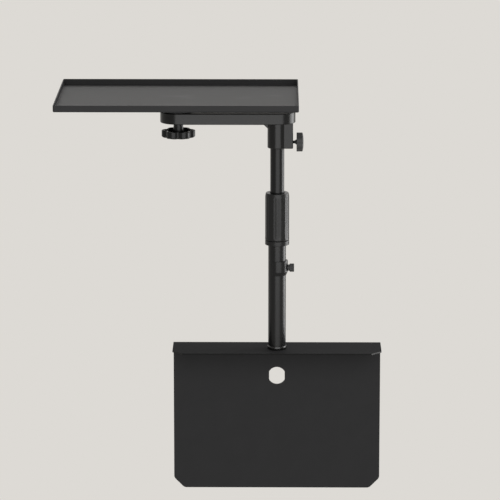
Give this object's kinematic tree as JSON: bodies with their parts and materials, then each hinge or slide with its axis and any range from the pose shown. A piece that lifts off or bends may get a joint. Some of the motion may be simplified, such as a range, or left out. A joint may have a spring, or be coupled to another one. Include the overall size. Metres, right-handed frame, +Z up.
{
  "type": "portable projector stand",
  "caption": "Projector stand with a bent insert plate, a telescopic pole with a twist lock, a swing arm clamped at the pole's top and a swivelling lipped tray.",
  "frame": {"origin": "centre of the flat back face of the insert plate", "axes": "+Z up along the pole, +X towards the clamp knob's side, -Y the way the flange points"},
  "size_m": [0.4612, 0.23, 0.5939],
  "materials": {
    "plate_coat": "fine matte black powder coat",
    "tube_coat": "satin black powder coat",
    "arm_coat": "fine matte black powder coat",
    "tray_coat": "fine matte black powder coat",
    "lock_plastic": "moulded black, satin",
    "knob_plastic": "moulded black, fine grain",
    "screw_steel": "blackened steel",
    "bush_plastic": "plain dark nylon"
  },
  "bodies": {
    "stand": {"insert_plate": "plate_coat", "foot_ring": "tube_coat", "foot_plug": "bush_plastic", "foot_washer": "screw_steel", "foot_bolt": "screw_steel", "lower_tube": "tube_coat", "screw_saddle": "tube_coat", "lock_ring": "lock_plastic", "guide_bush": "bush_plastic"},
    "twist_lock": {"lock_grip": "lock_plastic"},
    "safety_screw": {"safety_screw_shank": "screw_steel", "safety_screw_head": "knob_plastic"},
    "mast": {"upper_tube": "tube_coat"},
    "arm": {"swing_arm": "arm_coat", "clamp_hub": "arm_coat", "pivot_washer": "bush_plastic"},
    "clamp_knob": {"hub_knob": "knob_plastic", "hub_screw": "screw_steel"},
    "tray": {"tray_pan": "tray_coat", "tray_bracket": "tray_coat", "pivot_boss": "arm_coat"},
    "tray_clamp": {"tray_knob": "knob_plastic", "tray_screw": "screw_steel"}
  },
  "joints": [
    {"name": "mast_slide", "type": "slide", "parent": "stand", "child": "mast", "axis": [0, 0, 1], "range_m": [-0.059, 0.08]},
    {"name": "lock_twist", "type": "hinge", "parent": "stand", "child": "twist_lock", "pos_m": [0, -0.041, 0.31675], "axis": [0, 0, 1], "range_deg": [0, 90]},
    {"name": "safety_screw_turn", "type": "hinge", "parent": "stand", "child": "safety_screw", "pos_m": [0.018, -0.041, 0.23115], "axis": [1, 0, 0], "continuous": true},
    {"name": "arm_swivel", "type": "hinge", "parent": "mast", "child": "arm", "pos_m": [0, -0.041, 0.40605], "axis": [0, 0, 1], "continuous": true},
    {"name": "clamp_knob_turn", "type": "hinge", "parent": "arm", "child": "clamp_knob", "pos_m": [0.027, -0.041, 0.41425], "axis": [1, 0, 0], "continuous": true},
    {"name": "tray_swivel", "type": "hinge", "parent": "arm", "child": "tray", "pos_m": [-0.1405, -0.041, 0.45835], "axis": [0, 0, 1], "continuous": true},
    {"name": "tray_knob_turn", "type": "hinge", "parent": "arm", "child": "tray_clamp", "pos_m": [-0.1405, -0.041, 0.44305], "axis": [0, 0, 1], "continuous": true}
  ]
}
